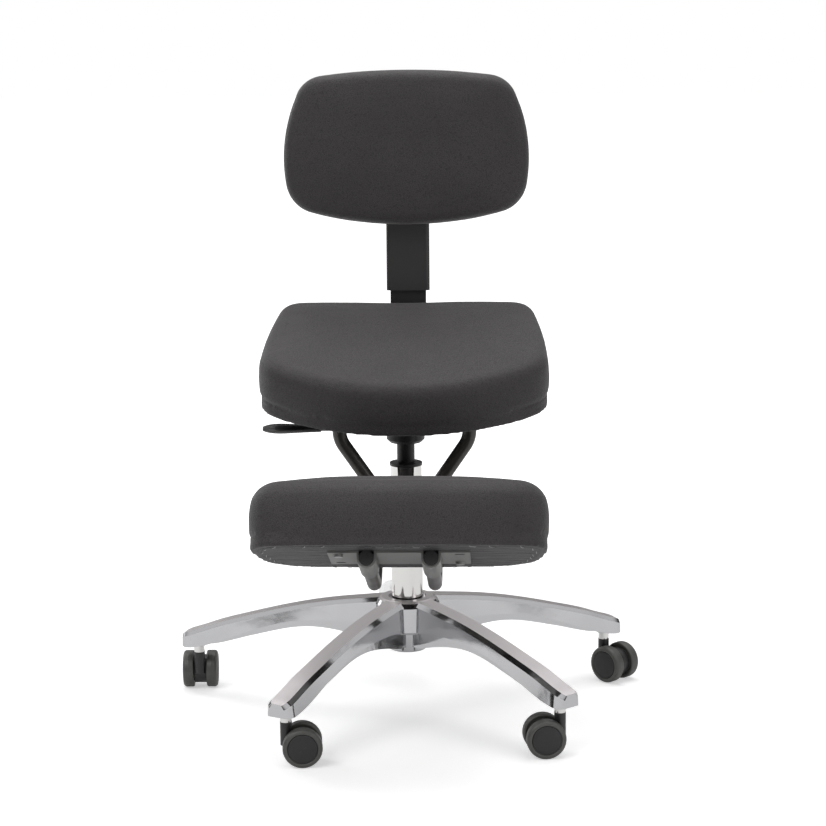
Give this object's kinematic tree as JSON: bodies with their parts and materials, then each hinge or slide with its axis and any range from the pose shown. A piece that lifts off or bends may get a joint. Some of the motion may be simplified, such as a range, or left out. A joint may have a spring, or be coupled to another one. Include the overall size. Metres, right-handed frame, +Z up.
{
  "type": "kneeling chair",
  "caption": "Kneeling chair on a polished star base with casters, height-adjustable column, tilted seat, knee pad on bent tubes and a flat-post backrest.",
  "frame": {"origin": "on the column's axis at the floor", "axes": "+Z up, -Y the way the sitter faces, +X to the sitter's left"},
  "size_m": [0.7481, 0.8015, 0.9998],
  "materials": {
    "cast_aluminium": "polished casting, satin top faces",
    "chrome_tube": "bright chrome",
    "black_steel": "black powder coat",
    "gunmetal_tube": "dark gunmetal semi-gloss coat",
    "zinc_steel": "zinc plated",
    "black_plastic": "moulded, fine grain",
    "tyre": "smooth soft tread",
    "pad_cover": "pebbled leatherette",
    "dust_cloth": "thin non-woven cloth",
    "plywood": "plain plywood"
  },
  "bodies": {
    "base": {"star_base": "cast_aluminium", "column_tube": "chrome_tube", "column_guide_bush": "black_plastic"},
    "caster_right": {"caster_right_stem": "zinc_steel", "caster_right_housing": "black_plastic", "caster_right_axle": "zinc_steel"},
    "caster_right_wheel_a": {"caster_right_wheel_a": "tyre"},
    "caster_right_wheel_b": {"caster_right_wheel_b": "tyre"},
    "caster_rear": {"caster_rear_stem": "zinc_steel", "caster_rear_housing": "black_plastic", "caster_rear_axle": "zinc_steel"},
    "caster_rear_wheel_a": {"caster_rear_wheel_a": "tyre"},
    "caster_rear_wheel_b": {"caster_rear_wheel_b": "tyre"},
    "caster_left": {"caster_left_stem": "zinc_steel", "caster_left_housing": "black_plastic", "caster_left_axle": "zinc_steel"},
    "caster_left_wheel_a": {"caster_left_wheel_a": "tyre"},
    "caster_left_wheel_b": {"caster_left_wheel_b": "tyre"},
    "caster_front_left": {"caster_front_left_stem": "zinc_steel", "caster_front_left_housing": "black_plastic", "caster_front_left_axle": "zinc_steel"},
    "caster_front_left_wheel_a": {"caster_front_left_wheel_a": "tyre"},
    "caster_front_left_wheel_b": {"caster_front_left_wheel_b": "tyre"},
    "caster_front_right": {"caster_front_right_stem": "zinc_steel", "caster_front_right_housing": "black_plastic", "caster_front_right_axle": "zinc_steel"},
    "caster_front_right_wheel_a": {"caster_front_right_wheel_a": "tyre"},
    "caster_front_right_wheel_b": {"caster_front_right_wheel_b": "tyre"},
    "column_rod": {"piston_rod": "zinc_steel", "rod_clip": "zinc_steel", "thrust_bearing": "zinc_steel", "rod_buffer": "black_plastic"},
    "seat": {"gas_cylinder": "black_steel", "seat_mechanism": "black_steel", "lever_pin": "zinc_steel", "frame_tube_left": "gunmetal_tube", "frame_tube_right": "gunmetal_tube", "tube_end_caps": "black_plastic", "seat_board": "plywood", "seat_cushion": "pad_cover", "seat_dust_cover": "dust_cloth", "seat_bolts": "zinc_steel", "knee_board": "plywood", "knee_cushion": "pad_cover", "knee_dust_cover": "dust_cloth", "knee_bracket": "zinc_steel", "knee_bracket_screws": "zinc_steel", "upright_clamp": "black_steel"},
    "button": {"release_button": "zinc_steel"},
    "lever": {"lever_rod": "black_steel", "lever_paddle": "black_plastic"},
    "upright": {"back_upright": "black_steel"},
    "depth_knob": {"depth_knob": "black_plastic"},
    "backrest": {"upright_sleeve": "black_plastic", "backrest_carrier": "black_steel", "backrest_board": "plywood", "backrest_cushion": "pad_cover", "backrest_shell": "black_plastic", "backrest_screws": "zinc_steel"},
    "height_knob": {"height_knob": "black_plastic"}
  },
  "joints": [
    {"name": "caster_right_swivel", "type": "hinge", "parent": "base", "child": "caster_right", "pos_m": [0.31849, 0.14514, 0.03], "axis": [0, 0, 1], "continuous": true},
    {"name": "caster_right_wheel_a_spin", "type": "hinge", "parent": "caster_right", "child": "caster_right_wheel_a", "pos_m": [0.349, 0.14267, 0.03], "axis": [0.682, 0.7314, 0], "continuous": true},
    {"name": "caster_right_wheel_b_spin", "type": "hinge", "parent": "caster_right", "child": "caster_right_wheel_b", "pos_m": [0.32308, 0.11488, 0.03], "axis": [0.682, 0.7314, 0], "continuous": true},
    {"name": "caster_rear_swivel", "type": "hinge", "parent": "base", "child": "caster_rear", "pos_m": [-0.03962, 0.34775, 0.03], "axis": [0, 0, 1], "continuous": true},
    {"name": "caster_rear_wheel_a_spin", "type": "hinge", "parent": "caster_rear", "child": "caster_rear_wheel_a", "pos_m": [-0.04408, 0.37804, 0.03], "axis": [-0.866, 0.5, 0], "continuous": true},
    {"name": "caster_rear_wheel_b_spin", "type": "hinge", "parent": "caster_rear", "child": "caster_rear_wheel_b", "pos_m": [-0.01117, 0.35903, 0.03], "axis": [-0.866, 0.5, 0], "continuous": true},
    {"name": "caster_left_swivel", "type": "hinge", "parent": "base", "child": "caster_left", "pos_m": [-0.34297, 0.06978, 0.03], "axis": [0, 0, 1], "continuous": true},
    {"name": "caster_left_wheel_a_spin", "type": "hinge", "parent": "caster_left", "child": "caster_left_wheel_a", "pos_m": [-0.3628, 0.0931, 0.03], "axis": [-0.9994, -0.0349, 0], "continuous": true},
    {"name": "caster_left_wheel_b_spin", "type": "hinge", "parent": "caster_left", "child": "caster_left_wheel_b", "pos_m": [-0.32482, 0.09443, 0.03], "axis": [-0.9994, -0.0349, 0], "continuous": true},
    {"name": "caster_front_left_swivel", "type": "hinge", "parent": "base", "child": "caster_front_left", "pos_m": [-0.17235, -0.30462, 0.03], "axis": [0, 0, 1], "continuous": true},
    {"name": "caster_front_left_wheel_a_spin", "type": "hinge", "parent": "caster_front_left", "child": "caster_front_left_wheel_a", "pos_m": [-0.1501, -0.2836, 0.03], "axis": [-0.0872, 0.9962, 0], "continuous": true},
    {"name": "caster_front_left_wheel_b_spin", "type": "hinge", "parent": "caster_front_left", "child": "caster_front_left_wheel_b", "pos_m": [-0.14678, -0.32146, 0.03], "axis": [-0.0872, 0.9962, 0], "continuous": true},
    {"name": "caster_front_right_swivel", "type": "hinge", "parent": "base", "child": "caster_front_right", "pos_m": [0.23646, -0.25805, 0.03], "axis": [0, 0, 1], "continuous": true},
    {"name": "caster_front_right_wheel_a_spin", "type": "hinge", "parent": "caster_front_right", "child": "caster_front_right_wheel_a", "pos_m": [0.21553, -0.28039, 0.03], "axis": [0.1478, -0.989, 0], "continuous": true},
    {"name": "caster_front_right_wheel_b_spin", "type": "hinge", "parent": "caster_front_right", "child": "caster_front_right_wheel_b", "pos_m": [0.20991, -0.2428, 0.03], "axis": [0.1478, -0.989, 0], "continuous": true},
    {"name": "seat_swivel", "type": "hinge", "parent": "base", "child": "column_rod", "pos_m": [0, 0, 0.2], "axis": [0, 0, 1], "continuous": true},
    {"name": "seat_height", "type": "slide", "parent": "column_rod", "child": "seat", "axis": [0, 0, 1], "range_m": [-0.02, 0.1]},
    {"name": "lever_lift", "type": "hinge", "parent": "seat", "child": "lever", "pos_m": [-0.02, 0, 0.4823], "axis": [0, 1, 0], "range_deg": [0, 9], "stiffness_Nm_per_rad": 0.6, "springref_deg": -11.46},
    {"name": "button_press", "type": "slide", "parent": "seat", "child": "button", "axis": [0, 0, -1], "range_m": [0, 0.0042]},
    {"name": "back_depth", "type": "slide", "parent": "seat", "child": "upright", "axis": [0, 0.9763, 0.2164], "range_m": [0, 0.04]},
    {"name": "depth_knob_turn", "type": "hinge", "parent": "seat", "child": "depth_knob", "pos_m": [0, 0.10446, 0.52816], "axis": [0, -0.2164, 0.9763], "continuous": true},
    {"name": "back_height", "type": "slide", "parent": "upright", "child": "backrest", "axis": [0, 0.0698, 0.9976], "range_m": [0, 0.06]},
    {"name": "height_knob_turn", "type": "hinge", "parent": "backrest", "child": "height_knob", "pos_m": [0, 0.19893, 0.89146], "axis": [0, -0.9976, 0.0698], "continuous": true}
  ],
  "couplings": [
    {"joint": "button_press", "follows": "lever_lift", "m_per_rad": 0.02546}
  ]
}
